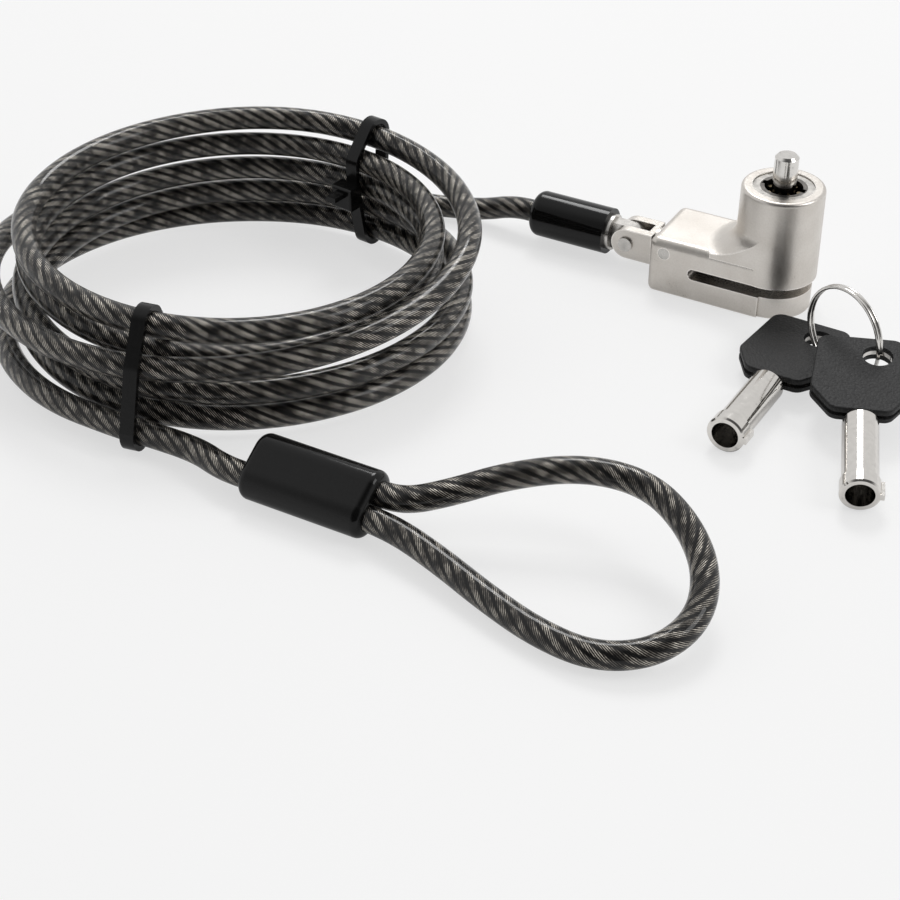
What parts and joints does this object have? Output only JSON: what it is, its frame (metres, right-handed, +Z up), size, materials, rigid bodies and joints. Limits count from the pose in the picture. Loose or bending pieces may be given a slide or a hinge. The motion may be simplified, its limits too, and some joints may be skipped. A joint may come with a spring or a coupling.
{
  "type": "laptop cable lock",
  "caption": "Laptop cable lock: slotted push-to-lock head on a riveted swivel, tied coil of jacketed steel cable ending in an eye, and tubular keys on a split ring.",
  "frame": {"origin": "centre of the lock head's flat base, on the barrel's axis", "axes": "+X along the arm from the swivel to the barrel, +Y to the far side, +Z up along the barrel"},
  "size_m": [0.1731, 0.1224, 0.0308],
  "materials": {
    "cast_nickel": "satin cast zinc with a nickel finish, edges polished",
    "core_steel": "turned steel",
    "pin_steel": "ground steel",
    "rotor_dark": "dark turned steel",
    "brass_pins": "turned brass",
    "spring_steel": "drawn spring wire",
    "polished_post": "polished nickel plate",
    "bolt_steel": "hardened steel",
    "swivel_steel": "satin nickel plate",
    "ferrule_metal": "crimped metal",
    "sleeve_black": "glossy black sleeve",
    "cable_jacket": "clear smoke jacket over steel wire rope",
    "tie_nylon": "glossy black nylon",
    "key_nickel": "polished nickel plate",
    "key_cover": "fine textured black cover",
    "ring_wire": "bright spring wire"
  },
  "bodies": {
    "cable": {"cable_end_fitting": "ferrule_metal", "head_sleeve": "sleeve_black", "cable_lead_head": "cable_jacket", "cable_coil": "cable_jacket", "cable_lead_eye": "cable_jacket", "cable_eye": "cable_jacket", "eye_ferrule": "ferrule_metal", "eye_sleeve": "sleeve_black", "front_tie_strap": "tie_nylon", "front_tie_head": "tie_nylon", "rear_tie_strap": "tie_nylon", "rear_tie_head": "tie_nylon"},
    "swivel": {"swivel_stem": "swivel_steel", "clevis_rivet": "pin_steel"},
    "head": {"lock_housing": "cast_nickel", "core_sleeve": "core_steel", "core_retaining_pin": "pin_steel", "swivel_cross_pin": "pin_steel", "plunger_spring": "spring_steel"},
    "rotor": {"rotor": "rotor_dark", "tumbler_springs": "spring_steel"},
    "tumblers": {"tumbler_pins": "brass_pins"},
    "plunger": {"push_post": "polished_post", "lock_bolt": "bolt_steel"},
    "key_set": {"key_ring": "ring_wire"},
    "key_a": {"key_a_tube": "key_nickel", "key_a_blade": "key_nickel", "key_a_cover_top": "key_cover", "key_a_cover_bottom": "key_cover"},
    "key_b": {"key_b_tube": "key_nickel", "key_b_blade": "key_nickel", "key_b_cover_top": "key_cover", "key_b_cover_bottom": "key_cover"}
  },
  "joints": [
    {"name": "clevis_tilt", "type": "hinge", "parent": "cable", "child": "swivel", "pos_m": [-0.02975, 0, 0.0055], "axis": [0, -1, 0], "range_deg": [-20, 75]},
    {"name": "head_swivel", "type": "hinge", "parent": "swivel", "child": "head", "pos_m": [-0.023, 0, 0.0055], "axis": [1, 0, 0], "range_deg": [-180, 40]},
    {"name": "key_turn", "type": "hinge", "parent": "head", "child": "rotor", "pos_m": [0, 0, 0.02], "axis": [0, 0, 1], "range_deg": [0, 90]},
    {"name": "tumbler_press", "type": "slide", "parent": "rotor", "child": "tumblers", "axis": [0, 0, -1], "range_m": [0, 0.0012], "stiffness_N_per_m": 100, "springref_m": -0.0005, "deforming": ["tumbler_springs"]},
    {"name": "post_push", "type": "slide", "parent": "head", "child": "plunger", "axis": [0, 0, -1], "range_m": [0, 0.005], "stiffness_N_per_m": 400, "springref_m": -0.002, "deforming": ["plunger_spring"]},
    {"name": "key_lift", "type": "slide", "parent": "cable", "child": "key_set", "axis": [0, 0, 1], "range_m": [0, 0.04]},
    {"name": "key_a_swing", "type": "hinge", "parent": "key_set", "child": "key_a", "pos_m": [0.01544, -0.01699, 0.0035], "axis": [0, 0, 1], "range_deg": [-25, 0]},
    {"name": "key_b_swing", "type": "hinge", "parent": "key_set", "child": "key_b", "pos_m": [0.02821, -0.02333, 0.00749], "axis": [0.0387, -0.1064, 0.9936], "range_deg": [0, 25]}
  ]
}
